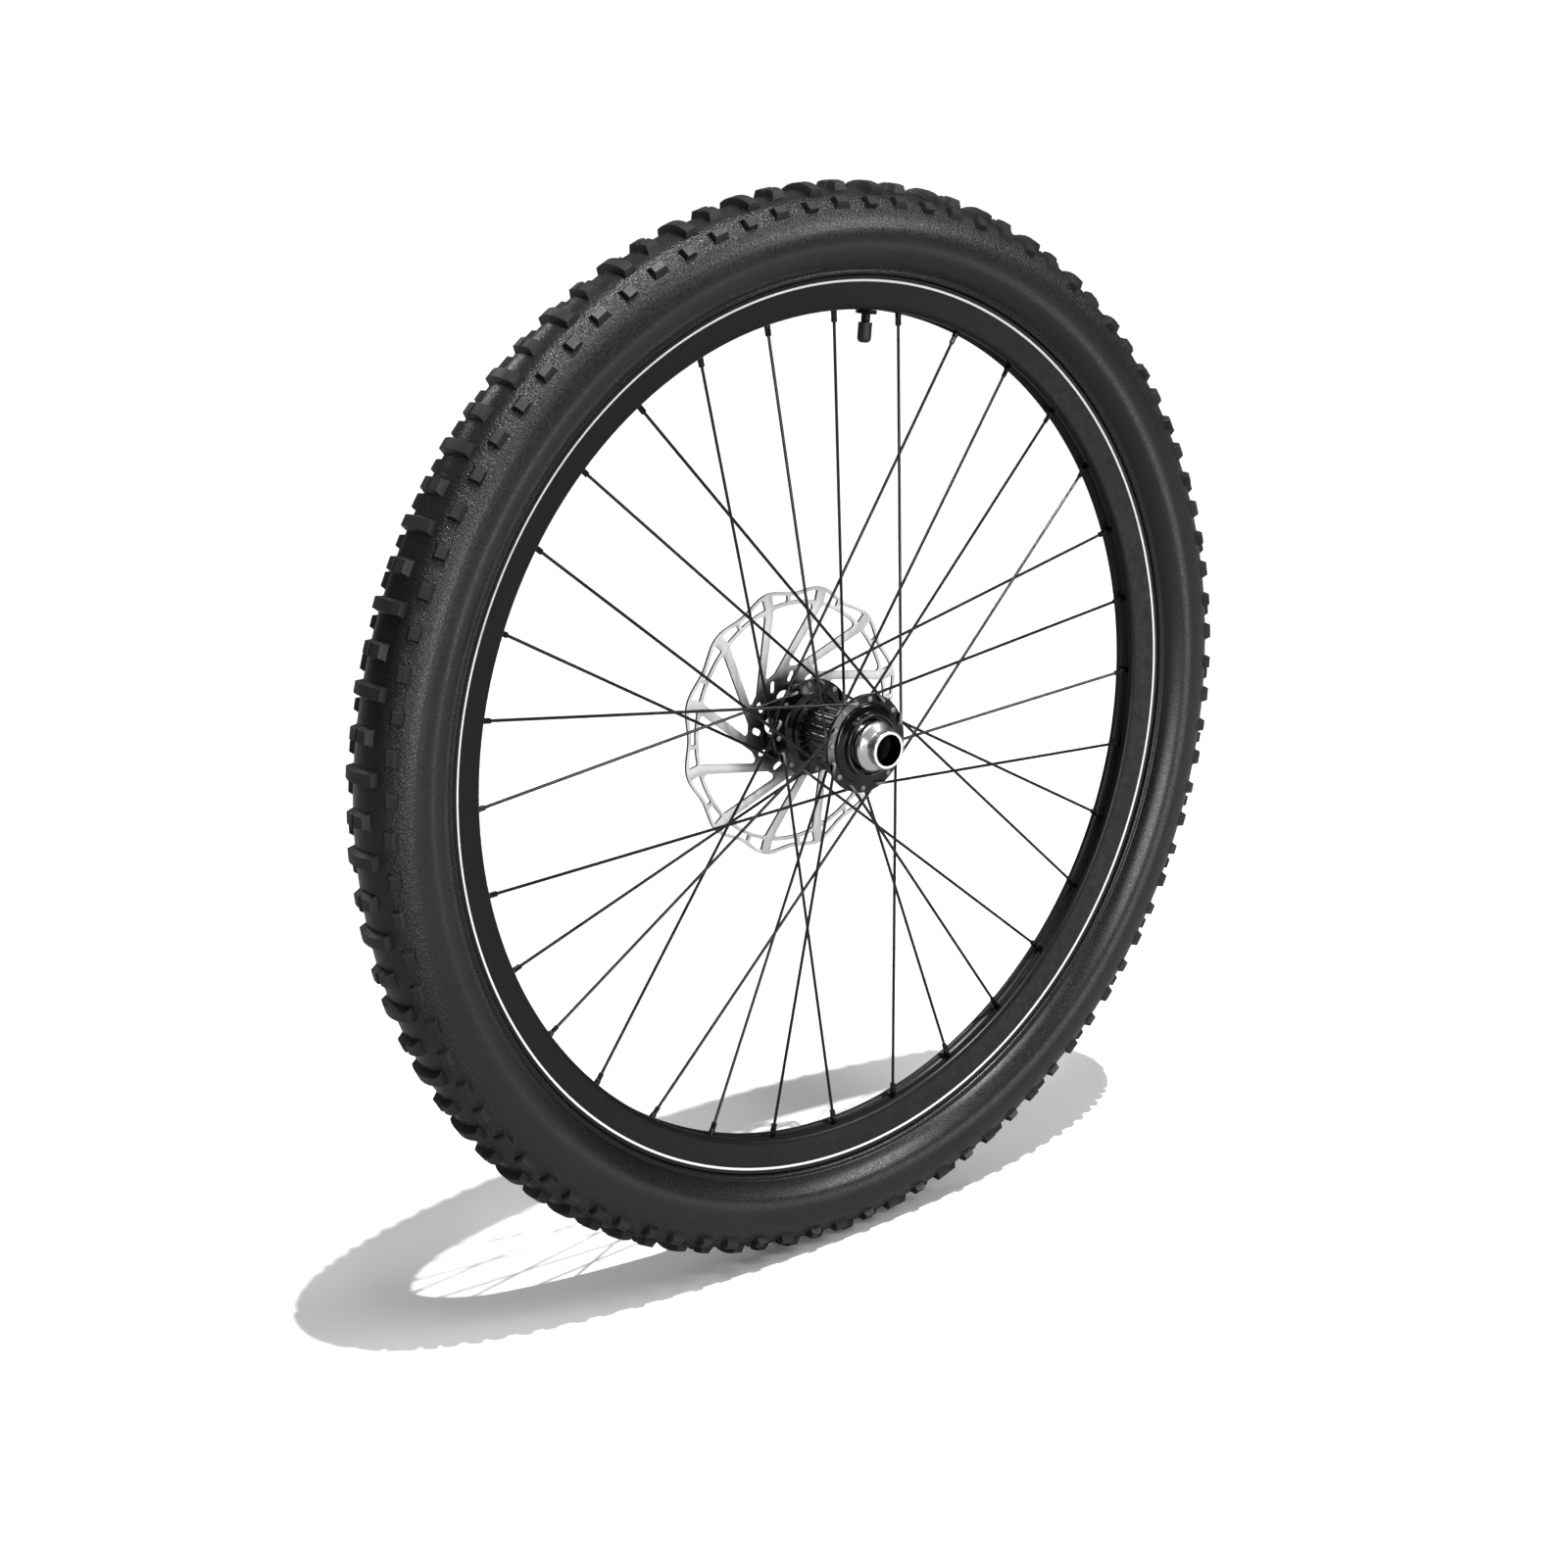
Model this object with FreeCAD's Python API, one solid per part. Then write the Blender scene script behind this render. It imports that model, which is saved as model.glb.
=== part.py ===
import FreeCAD, Part
import os
from math import cos, pi, radians, sin, sqrt

# Front wheel of a mountain bike, in millimetres.
# The origin is the wheel's centre on the axle line, midway between the fork's faces.
# +Y runs along the axle to the brake side (the rider's left), +Z is up, +X is forward.
# "Right" is the side at -Y.  Wheel angles turn from +X toward +Z.

V = FreeCAD.Vector
ORIGIN = V(0, 0, 0)
AXLE = V(0, 1, 0)
RIGHT, LEFT = -1, 1

# axle and end caps
FORK_FACE = 55.0             # half the distance between the fork's faces
BORE_R = 10.05               # takes a 20 mm through-axle
TUBE_R = 12.5
TUBE_SHOULDER_R = 13.2
TUBE_END = 44.5

# cartridge bearings, 37 mm outside, 7 mm wide
BEARING_INSIDE = 29.5        # distance of the inner face from the wheel's centre plane
BEARING_OUTSIDE = 36.5
BEARING_R = 18.5
INNER_RACE_R = 14.2
OUTER_RACE_R = 16.8
BALLS = 13
BALL_R = 1.98
BALL_PITCH_R = 15.5
BALL_GAP = 0.05

# hub shell
FLANGE_R = 32.6
FLANGE_RIGHT = (-32.7, -30.0)
FLANGE_LEFT = (21.6, 24.4)
SPOKE_HOLES_R = 29.4         # radius of the circle the spoke holes sit on
SPOKE_HOLE_R = 1.3
BARREL_R = 18.9
FLUTES = 24
COVER_R = 21.3
COVER_BORE_R = 15.0

# brake rotor
ROTOR_Y = 41.5
ROTOR_T = 1.8
ROTOR_R = 89.9               # middle of the wavy outline
ROTOR_WAVE = 2.1
ROTOR_LOBES = 12
ROTOR_PHASE = 14.0           # wheel angle of one lobe
WINDOW_R = 82.2
RAIL_R = 79.8
CARRIER_R = 38.0
ROTOR_BORE_R = 19.0
ARM_ROOT_R = 34.0
ARM_TURN = 44.0              # angle an arm turns through between the band and the carrier
BOLTS = 6
BOLT_CIRCLE_R = 22.0
BOLT_PHASE = 28.0

# spokes and nipples
SPOKES = 32
SPOKE_R = 1.0
FIRST_NIPPLE = 90.0
TRAILING_TURN = 73.125       # wheel angle from a nipple to its hub hole
LEADING_TURN = -61.875
ELBOW_RIGHT = -31.5          # middle of the two spoke planes at the right flange
ELBOW_LEFT = 23.25
ELBOW_STEP = 3.2
AIM_R = 276.13               # the spoke's line crosses the centre plane at this radius
NIPPLE_BORE_R = 1.03

# rim for a 584 mm bead seat
SIDE_LOW = (279.2, 9.2)      # radius and half-width at the lower edge of the side wall
SIDE_HIGH = (296.4, 13.6)
STRIPE = (292.8, 294.2)
VALVE_ANGLE = 84.375
VALVE_HOLE_R = 3.2

# tyre: the section is an ellipse over its centre radius
SECTION_R = 321.0
SECTION_A = 29.2
SECTION_B = 27.5
CASING_T = 1.8
LUG_PITCHES = 45
LUG_ROOT = 0.6               # depth of a lug's base under the casing's skin
CROWN_CENTRE = 324.3         # centre and radius of the circle that fits the crown
CROWN_R = 25.9
CROWN_LUG = 4.3
SIDE_LUG = 3.8
BEAD_WIRE = (294.2, 9.9, 0.9)


def polar(r, angle, y=0.0):
    return V(r * cos(radians(angle)), y, r * sin(radians(angle)))


def polygon(points):
    return Part.Face(Part.makePolygon(points + points[:1]))


def turned(outline):
    """Solid turned about the axle from a closed outline of (radius, y) points."""
    return polygon([V(r, y, 0) for r, y in outline]).revolve(ORIGIN, AXLE, 360)


def sided(outline, side):
    """The same, from (radius, distance from the centre plane) points, on one side."""
    return turned([(r, side * s) for r, s in outline])


def spun(shape, angle):
    copy = shape.copy()
    copy.rotate(ORIGIN, AXLE, -angle)
    return copy


def around(shape, count, phase=0.0):
    return [spun(shape, phase + i * 360.0 / count) for i in range(count)]


def mirrored(shapes):
    return [shape.mirror(ORIGIN, AXLE) for shape in shapes]


def rod(start, end, r):
    return Part.makeCylinder(r, (end - start).Length, start, end - start)


def save(node, solids):
    shape = solids[0] if len(solids) == 1 else Part.makeCompound(solids)
    shape.exportStep("parts/" + node + ".step")


# axle, end caps and bearings

def axle_tube():
    half = [(BORE_R, TUBE_END), (TUBE_R, TUBE_END), (TUBE_R, BEARING_INSIDE),
            (TUBE_SHOULDER_R, BEARING_INSIDE)]
    return turned(half + [(r, -y) for r, y in reversed(half)])


def end_cap(side):
    """Cap over the tube's end: skirt, flange, waisted neck and end ring."""
    return sided([
        (12.55, 36.6), (14.6, 36.6), (14.6, 40.5), (16.4, 40.5), (16.4, 43.0), (15.4, 44.0),
        (11.2, 47.0), (11.2, 52.0), (12.65, 52.9), (12.65, 54.5), (12.2, FORK_FACE),
        (BORE_R, FORK_FACE), (BORE_R, TUBE_END), (12.55, TUBE_END)], side)


def bearing_middle(side):
    return side * (BEARING_INSIDE + BEARING_OUTSIDE) / 2


def race(inner_r, outer_r, side):
    band = sided([(inner_r, BEARING_INSIDE), (outer_r, BEARING_INSIDE),
                  (outer_r, BEARING_OUTSIDE), (inner_r, BEARING_OUTSIDE)], side)
    groove = Part.makeTorus(BALL_PITCH_R, BALL_R + BALL_GAP, V(0, bearing_middle(side), 0), AXLE)
    return band.cut(groove)


def bearing_balls(side):
    return around(Part.makeSphere(BALL_R, V(BALL_PITCH_R, bearing_middle(side), 0)), BALLS)


def bearing_cage(side):
    half = BALL_R + BALL_GAP
    corner = V(BALL_PITCH_R - 2, bearing_middle(side) - half, -half)
    pocket = Part.makeBox(4, 2 * half, 2 * half, corner)
    band = sided([(14.9, 30.6), (16.1, 30.6), (16.1, 35.4), (14.9, 35.4)], side)
    return band.cut(around(pocket, BALLS))


def bearing_seals(side):
    return [sided([(14.5, s), (OUTER_RACE_R, s), (OUTER_RACE_R, s + 0.7), (14.5, s + 0.7)], side)
            for s in (29.6, 35.7)]


# hub

def hub_blank():
    """Hub shell before its holes: right end, two flanges, barrel and rotor boss."""
    return turned([
        (18.5, -36.6), (COVER_R, -36.6), (COVER_R, -35.6), (25.6, -34.6), (26.5, -33.9),
        (26.5, FLANGE_RIGHT[0]), (FLANGE_R - 0.5, FLANGE_RIGHT[0]), (FLANGE_R, FLANGE_RIGHT[0] + 0.5),
        (FLANGE_R, FLANGE_RIGHT[1] - 0.5), (FLANGE_R - 0.5, FLANGE_RIGHT[1]),
        (25.0, FLANGE_RIGHT[1]), (20.6, -26.0), (BARREL_R, -22.0), (BARREL_R, 14.0),
        (20.4, 15.5), (20.4, 18.5), (23.5, FLANGE_LEFT[0]), (FLANGE_R - 0.5, FLANGE_LEFT[0]),
        (FLANGE_R, FLANGE_LEFT[0] + 0.5), (FLANGE_R, FLANGE_LEFT[1] - 0.5),
        (FLANGE_R - 0.5, FLANGE_LEFT[1]), (25.5, FLANGE_LEFT[1]), (25.5, 36.0), (27.0, 36.5),
        (27.0, ROTOR_Y), (18.95, ROTOR_Y), (18.95, 43.0), (BEARING_R, 43.0),
        (BEARING_R, BEARING_INSIDE), (16.9, BEARING_INSIDE), (16.9, 27.0), (14.0, 25.0),
        (14.0, -25.0), (16.9, -27.0), (16.9, -BEARING_INSIDE), (BEARING_R, -BEARING_INSIDE)])


def spoke_holes():
    holes = []
    for flange, phase in ((FLANGE_RIGHT, 16.875), (FLANGE_LEFT, 28.125)):
        hole = rod(V(SPOKE_HOLES_R, flange[0] - 1, 0), V(SPOKE_HOLES_R, flange[1] + 1, 0), SPOKE_HOLE_R)
        holes += around(hole, SPOKES // 2, phase)
    return holes


def hub_shell():
    bolt = rod(V(BOLT_CIRCLE_R, 30.0, 0), V(BOLT_CIRCLE_R, ROTOR_Y + 1, 0), 2.5)
    scallop = rod(V(26.7, 25.5, 0), V(26.7, ROTOR_Y + 1, 0), 6.5)
    low, high = V(20.3, -20.0, 0), V(20.3, 12.0, 0)
    flute = rod(low, high, 2.2).fuse([Part.makeSphere(2.2, low), Part.makeSphere(2.2, high)])
    cutters = spoke_holes() + around(bolt, BOLTS, BOLT_PHASE)
    cutters += around(scallop, BOLTS, BOLT_PHASE + 30.0) + around(flute, FLUTES)
    return hub_blank().cut(cutters)


def dust_cover_right():
    return sided([(COVER_BORE_R, 36.7), (COVER_R, 36.7), (COVER_R, 38.8), (20.7, 39.4),
                  (19.2, 39.4), (18.6, 38.3), (COVER_BORE_R, 38.0)], RIGHT)


def dust_cover_left():
    return sided([(COVER_BORE_R, 36.7), (BEARING_R - 0.05, 36.7), (BEARING_R - 0.05, 38.3),
                  (COVER_BORE_R, 38.0)], LEFT)


# brake rotor

def sheet(face):
    return face.extrude(V(0, ROTOR_T, 0))


def rounded(face, r):
    """The same flat outline with its outward corners rounded."""
    return face.makeOffset2D(-r).makeOffset2D(r)


def wave_r(angle, inset=0.0):
    return ROTOR_R - inset + ROTOR_WAVE * cos(radians(ROTOR_LOBES * (angle - ROTOR_PHASE)))


def disc(r):
    return Part.Face(Part.Wire(Part.makeCircle(r, V(0, ROTOR_Y, 0), AXLE)))


def wave_face():
    steps = 8 * ROTOR_LOBES
    curve = Part.BSplineCurve()
    angles = [ROTOR_PHASE + i * 360.0 / steps for i in range(steps)]
    curve.interpolate(Points=[polar(wave_r(a), a, ROTOR_Y) for a in angles], PeriodicFlag=True)
    return Part.Face(Part.Wire(curve.toShape()))


def band_window(first, last):
    """One window in the braking band between two wheel angles."""
    angles = [first + (last - first) * i / 6.0 for i in range(7)]
    outer = [polar(wave_r(a, 2.2), a, ROTOR_Y) for a in angles]
    inner = [polar(WINDOW_R, a, ROTOR_Y) for a in reversed(angles)]
    return rounded(polygon(outer + inner), 0.9)


def arm(lobe):
    tip, root = polar(RAIL_R + 1, lobe, ROTOR_Y), polar(ARM_ROOT_R, lobe + ARM_TURN, ROTOR_Y)
    across = AXLE.cross(root - tip).normalize()
    return polygon([tip + across * 3.2, root + across * 2.6, root - across * 2.6, tip - across * 3.2])


def arm_opening():
    """The large opening between two neighbouring arms."""
    pitch = 360.0 / ROTOR_LOBES
    arms = [arm(ROTOR_PHASE + i * pitch) for i in range(ROTOR_LOBES)]
    openings = disc(RAIL_R).cut([disc(CARRIER_R)] + arms)
    return rounded(openings.Faces[0], 2.4)


def carrier_slot():
    """Oval hole in the carrier, lying along the arms."""
    centre = polar(31.5, ROTOR_PHASE + 20.0, ROTOR_Y)
    along = polar(ARM_ROOT_R, ARM_TURN + 8.0, 0) - polar(RAIL_R, 8.0, 0)
    along = spun(Part.Vertex(along), ROTOR_PHASE).Point.normalize() * 2.1
    return rod_slot(centre, along)


def rod_slot(centre, along):
    """Cutter through the rotor with round ends, 4.2 mm wide."""
    ends = [centre + along, centre - along]
    across = AXLE.cross(along).normalize() * 2.1
    flat = sheet(polygon([ends[0] + across, ends[1] + across, ends[1] - across, ends[0] - across]))
    return flat.fuse([Part.makeCylinder(2.1, ROTOR_T, end, AXLE) for end in ends])


def brake_rotor():
    """One sheet: wavy braking band, slanted arms and a bolted carrier."""
    lobe, pitch = ROTOR_PHASE, 360.0 / ROTOR_LOBES
    short = sheet(band_window(lobe - 10.7, lobe - 2.5))
    long = sheet(band_window(lobe - 27.5, lobe - 12.4))
    bolt = Part.makeCylinder(2.6, ROTOR_T, V(BOLT_CIRCLE_R, ROTOR_Y, 0), AXLE)
    scoop = Part.makeCylinder(6.0, ROTOR_T, V(ROTOR_BORE_R, ROTOR_Y, 0), AXLE)
    cutters = [sheet(disc(ROTOR_BORE_R))]
    for shape in (short, long, sheet(arm_opening()), carrier_slot()):
        cutters += around(shape, ROTOR_LOBES)
    cutters += around(bolt, BOLTS, BOLT_PHASE) + around(scoop, BOLTS, BOLT_PHASE + 30.0)
    return sheet(wave_face()).cut(cutters)


def rotor_bolt():
    """Button-head bolt with a round socket, clamping the rotor to the hub."""
    top = ROTOR_Y + ROTOR_T
    shank = rod(V(BOLT_CIRCLE_R, 32.0, 0), V(BOLT_CIRCLE_R, top, 0), 2.45)
    head = [V(0, top, 0), V(4.2, top, 0), V(4.2, top + 1.0, 0), V(3.2, top + 2.2, 0),
            V(1.6, top + 2.4, 0), V(1.6, top + 0.9, 0), V(0, top + 0.9, 0)]
    head = polygon(head).revolve(ORIGIN, AXLE, 360)
    head.translate(V(BOLT_CIRCLE_R, 0, 0))
    return shank.fuse(head).removeSplitter()


# spokes and nipples

def is_right(index):
    return index % 2 == 1


def is_trailing(index):
    return ((index + 1) // 2) % 2 == 1


def spoke_ends(index):
    """The elbow at the flange and the point the spoke is aimed at in the rim."""
    angle = FIRST_NIPPLE + index * 360.0 / SPOKES
    middle = ELBOW_RIGHT if is_right(index) else ELBOW_LEFT
    if is_trailing(index):
        elbow = polar(SPOKE_HOLES_R, angle + TRAILING_TURN, middle + ELBOW_STEP)
    else:
        elbow = polar(SPOKE_HOLES_R, angle + LEADING_TURN, middle - ELBOW_STEP)
    return elbow, polar(AIM_R, angle)


def spoke(index):
    """J-bend spoke: button head, neck through the flange, elbow and straight leg."""
    elbow, aim = spoke_ends(index)
    flange = FLANGE_RIGHT if is_right(index) else FLANGE_LEFT
    face, outward = (flange[0], -1) if is_trailing(index) else (flange[1], 1)
    seat = V(elbow.x, face, elbow.z)
    head = rod(seat, seat + AXLE * outward, 1.9)
    neck = rod(seat, elbow, SPOKE_R)
    leg = rod(elbow, aim + (aim - elbow).normalize() * 2.5, SPOKE_R)
    return head.fuse([neck, Part.makeSphere(SPOKE_R, elbow), leg]).removeSplitter()


def nipple_point(index, reach):
    """Point on the spoke's line, this far beyond the aim."""
    elbow, aim = spoke_ends(index)
    return aim + (aim - elbow).normalize() * reach


def nipple(index):
    foot, step, neck, top = [nipple_point(index, d) for d in (-9.1, -3.9, 5.0, 7.0)]
    body = rod(foot, step, 1.6).fuse([rod(step, neck, 1.95), rod(neck, top, 3.0)])
    return body.cut(rod(nipple_point(index, -10.0), nipple_point(index, 8.0), NIPPLE_BORE_R))


# rim

def arc(start, middle, end):
    return Part.Arc(V(*start, 0), V(*middle, 0), V(*end, 0)).toShape()


def line(*points):
    return [Part.makeLine(V(*a, 0), V(*b, 0)) for a, b in zip(points, points[1:])]


def rim_face():
    """Section of the rim: hooked side walls, a stepped tyre bed and a grooved spoke bed."""
    edges = []
    for side in (RIGHT, LEFT):
        def at(r, s):
            return (r, side * s)
        edges.append(arc(at(296.4, 12.0), at(297.0, 12.8), at(*SIDE_HIGH)))
        edges += line(at(*SIDE_HIGH), at(*SIDE_LOW))
        edges.append(arc(at(*SIDE_LOW), at(276.3, 8.0), at(275.0, 5.4)))
        edges += line(at(275.0, 5.4), at(275.0, 4.8))
        edges += line(at(296.4, 12.0), at(292.0, 12.0), at(291.7, 7.5), at(287.0, 5.0))
    edges.append(arc((275.0, -4.8), (278.4, 0), (275.0, 4.8)))
    edges += line((287.0, -5.0), (287.0, 5.0))
    return Part.Face(Part.Wire(Part.__sortEdges__(edges)))


def rim():
    half = [(285.4, 4.2), (289.9, 8.2), (289.9, 10.3), (281.0, 8.1), (277.4, 4.9), (280.5, 1.5)]
    chamber = turned(half + [(r, -y) for r, y in reversed(half)])
    cutters = [chamber, rod(polar(270.0, VALVE_ANGLE), polar(290.0, VALVE_ANGLE), VALVE_HOLE_R)]
    for index in range(SPOKES):
        angle = FIRST_NIPPLE + index * 360.0 / SPOKES
        cutters.append(rod(nipple_point(index, -3.0), nipple_point(index, 6.0), 2.2))
        cutters.append(rod(polar(284.0, angle), polar(289.0, angle), 4.0))
    return rim_face().revolve(ORIGIN, AXLE, 360).cut(cutters)


def pinstripe(side):
    """Thin painted ring near the top of the rim's side wall."""
    slope = (SIDE_HIGH[1] - SIDE_LOW[1]) / (SIDE_HIGH[0] - SIDE_LOW[0])
    wall = [(r, SIDE_LOW[1] + slope * (r - SIDE_LOW[0])) for r in STRIPE]
    return sided(wall + [(r, s + 0.1) for r, s in reversed(wall)], side)


def rim_tape():
    band = turned([(287.05, -4.9), (287.8, -4.9), (287.8, 4.9), (287.05, 4.9)])
    return band.cut(rod(polar(280.0, VALVE_ANGLE), polar(290.0, VALVE_ANGLE), VALVE_HOLE_R))


# tyre and tube

def over_crown(foot, inset):
    """Points over the section, from the +Y foot across the crown to the -Y foot."""
    a, b = SECTION_A - inset, SECTION_B - inset
    crown = [(SECTION_R + a * cos(t * pi / 12), b * sin(t * pi / 12)) for t in range(6, -7, -1)]
    return foot + crown + [(r, -y) for r, y in reversed(foot)]


def spline(points):
    curve = Part.BSplineCurve()
    curve.interpolate([V(r, y, 0) for r, y in points])
    return curve.toShape()


def tyre_casing():
    """Casing: a rounded wall between two bead seats, with a low ridge beside the rim."""
    outer = over_crown([(300.6, 15.6), (304.5, 20.3), (310.0, 24.6), (315.5, 26.8)], 0.0)
    inner = over_crown([(302.3, 14.6), (306.0, 19.0), (311.0, 23.0), (315.9, 25.0)], CASING_T)
    foot = [(300.6, 15.6), (299.8, 15.9), (298.4, 15.7), (297.3, 14.4), (297.2, 11.7),
            (292.2, 11.7), (292.2, 7.9), (296.5, 8.2), (302.3, 14.6)]
    edges = [spline(outer), spline(inner)] + line(*foot) + line(*[(r, -y) for r, y in foot])
    casing = Part.Face(Part.Wire(Part.__sortEdges__(edges))).revolve(ORIGIN, AXLE, 360)
    return casing.cut([bead_wire(RIGHT), bead_wire(LEFT)])


def bead_wire(side):
    r, s, thickness = BEAD_WIRE
    return Part.makeTorus(r, thickness, V(0, side * s, 0), AXLE)


def inner_tube():
    outline = over_crown([(288.3, 5.2), (292.4, 7.4), (297.0, 8.2), (302.8, 14.2), (306.4, 18.4),
                          (311.2, 22.6)], CASING_T + 0.3)
    outer = polygon([V(r, y, 0) for r, y in outline])
    wall = outer.cut(outer.makeOffset2D(-1.0)).revolve(ORIGIN, AXLE, 360)
    return wall.cut(rod(polar(280.0, VALVE_ANGLE), polar(290.0, VALVE_ANGLE), 3.05))


def section_point(phi, rise, z):
    """Point over the casing's skin; phi runs from the crown toward +Y."""
    c, s = cos(radians(phi)), sin(radians(phi))
    reach = 1 / sqrt((c / SECTION_A) ** 2 + (s / SECTION_B) ** 2) + rise
    return V(SECTION_R + reach * c, reach * s, z)


def crown_bar(base_phi, top_phi, base_width, top_width):
    """Bar across the crown at wheel angle 0, with sloped walls and ends."""
    low, high = CROWN_CENTRE + CROWN_R - LUG_ROOT, CROWN_CENTRE + CROWN_R + CROWN_LUG
    profile = polygon([V(low, 0, -base_width / 2), V(high, 0, -top_width / 2),
                       V(high, 0, top_width / 2), V(low, 0, base_width / 2)])
    axis = V(CROWN_CENTRE, 0, 0)
    profile.rotate(axis, V(0, 0, 1), -45)
    base, top = section_point(base_phi, -LUG_ROOT, -10), section_point(top_phi, CROWN_LUG, -10)
    above = top + (top - base) * 0.9
    corners = [base, above, V(above.x, -above.y, -10), V(base.x, -base.y, -10)]
    return profile.revolve(axis, V(0, 0, 1), 90).common(polygon(corners).extrude(V(0, 0, 20)))


def notched(bar):
    top = CROWN_CENTRE + CROWN_R + CROWN_LUG
    return bar.cut(Part.makeBox(3, 3, 20, V(top - 1.2, -1.5, -10)))


def side_lug(base_phi, top_phi, base_length, top_length):
    """Shoulder lug on the left at wheel angle 0, between a base and a top rectangle."""
    wires = []
    for phis, rise, length in ((base_phi, -LUG_ROOT, base_length), (top_phi, SIDE_LUG, top_length)):
        z = length / 2
        corners = [section_point(phis[0], rise, -z), section_point(phis[1], rise, -z),
                   section_point(phis[1], rise, z), section_point(phis[0], rise, z)]
        wires.append(Part.makePolygon(corners + corners[:1]))
    return Part.makeLoft(wires, True, True)


def both_sides(lug, phase):
    lugs = around(lug, LUG_PITCHES, phase)
    return lugs + mirrored(lugs)


# valve: drawn along +X with x as the wheel radius, then turned to its place

def on_valve(shape):
    return spun(shape, VALVE_ANGLE)


def valve_turned(outline):
    face = polygon([V(x, r, 0) for x, r in outline])
    return on_valve(face.revolve(ORIGIN, V(1, 0, 0), 360))


def valve_stem():
    return valve_turned([(290.5, 1.5), (290.5, 4.3), (289.5, 4.3), (289.5, 3.0), (267.3, 3.0),
                         (267.3, 2.62), (256.5, 2.62), (256.5, 1.5)])


def valve_core():
    return valve_turned([(286.0, 0.0), (286.0, 1.2), (258.4, 1.2), (258.4, 0.6), (257.0, 0.6),
                         (257.0, 0.0)])


def valve_nut():
    corners = [polar(7.2, 60 * i, 0) for i in range(6)]
    blank = polygon([V(272.2, c.z, c.x) for c in corners]).extrude(V(2.6, 0, 0))
    return on_valve(blank.cut(rod(V(270, 0, 0), V(276, 0, 0), 3.05)))


def valve_cap():
    return valve_turned([(267.0, 2.7), (267.0, 4.5), (257.0, 4.5), (255.4, 4.1), (254.5, 3.2),
                         (254.1, 1.7), (254.0, 0.0), (256.2, 0.0), (256.2, 2.7)])


def build_axle():
    save("axle_tube", [axle_tube()])
    for side, name in ((RIGHT, "right"), (LEFT, "left")):
        save("end_cap_" + name, [end_cap(side)])
        save("bearing_inner_" + name, [race(TUBE_R, INNER_RACE_R, side)])
        save("bearing_outer_" + name, [race(OUTER_RACE_R, BEARING_R, side)])
        save("bearing_balls_" + name, bearing_balls(side))
        save("bearing_cage_" + name, [bearing_cage(side)])
        save("bearing_seals_" + name, bearing_seals(side))


def build_hub():
    save("hub_shell", [hub_shell()])
    save("dust_cover_right", [dust_cover_right()])
    save("dust_cover_left", [dust_cover_left()])
    save("brake_rotor", [brake_rotor()])
    save("rotor_bolts", around(rotor_bolt(), BOLTS, BOLT_PHASE))


def build_spokes():
    for side, on_right in (("right", True), ("left", False)):
        for way, trailing in (("trailing", True), ("leading", False)):
            group = [spoke(i) for i in range(SPOKES)
                     if is_right(i) == on_right and is_trailing(i) == trailing]
            save("spokes_" + side + "_" + way, group)
    save("nipples", [nipple(i) for i in range(SPOKES)])


def build_rim():
    save("rim", [rim()])
    save("pinstripe_right", [pinstripe(RIGHT)])
    save("pinstripe_left", [pinstripe(LEFT)])
    save("rim_tape", [rim_tape()])


def build_tyre():
    save("tyre_casing", [tyre_casing()])
    save("bead_wire_right", [bead_wire(RIGHT)])
    save("bead_wire_left", [bead_wire(LEFT)])
    wide, narrow = crown_bar(30.0, 26.0, 9.9, 6.8), notched(crown_bar(20.5, 15.0, 10.4, 7.2))
    square = side_lug((36.2, 53.6), (41.7, 52.3), 9.6, 6.6)
    bevel = side_lug((35.6, 54.5), (39.8, 47.8), 11.5, 8.5)
    save("tread_centre_wide", around(wide, LUG_PITCHES, 6.25))
    save("tread_centre_narrow", around(narrow, LUG_PITCHES, 2.4))
    save("tread_side_square", both_sides(square, 0.07))
    save("tread_side_bevel", both_sides(bevel, 3.96))
    save("inner_tube", [inner_tube()])


def build_valve():
    save("valve_stem", [valve_stem()])
    save("valve_core", [valve_core()])
    save("valve_nut", [valve_nut()])
    save("valve_cap", [valve_cap()])


os.makedirs("parts", exist_ok=True)
build_axle()
build_hub()
build_spokes()
build_rim()
build_tyre()
build_valve()
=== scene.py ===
from math import cos, pi, radians, sin, sqrt

import bmesh
import bpy
from mathutils import Matrix, Vector


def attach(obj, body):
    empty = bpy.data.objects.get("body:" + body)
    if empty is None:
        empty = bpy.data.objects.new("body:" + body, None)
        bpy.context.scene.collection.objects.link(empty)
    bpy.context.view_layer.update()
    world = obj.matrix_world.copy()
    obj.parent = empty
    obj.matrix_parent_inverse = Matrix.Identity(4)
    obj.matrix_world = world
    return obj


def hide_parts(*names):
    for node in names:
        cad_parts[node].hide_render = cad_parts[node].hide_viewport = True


# Looks of a mountain-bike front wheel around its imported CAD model.
# Lengths below are millimetres and are scaled to metres where a mesh is made.
# +Y runs along the axle to the brake side, +Z is up; "right" is the side at -Y.

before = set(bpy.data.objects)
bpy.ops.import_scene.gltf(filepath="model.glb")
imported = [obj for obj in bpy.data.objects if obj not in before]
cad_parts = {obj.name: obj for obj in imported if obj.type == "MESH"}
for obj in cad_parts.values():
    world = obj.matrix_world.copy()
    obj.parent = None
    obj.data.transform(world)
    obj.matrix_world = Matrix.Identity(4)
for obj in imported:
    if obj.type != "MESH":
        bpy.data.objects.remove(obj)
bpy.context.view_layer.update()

MM = 0.001
RIGHT, LEFT = -1, 1

# segments per turn of the round shapes
TYRE_SEGMENTS = 540
RIM_SEGMENTS = 720
HUB_SEGMENTS = 480
COVER_SEGMENTS = 192

# faces that meet at more than this angle, in degrees, keep a sharp edge
SHARP_EDGE = 35.0

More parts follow.
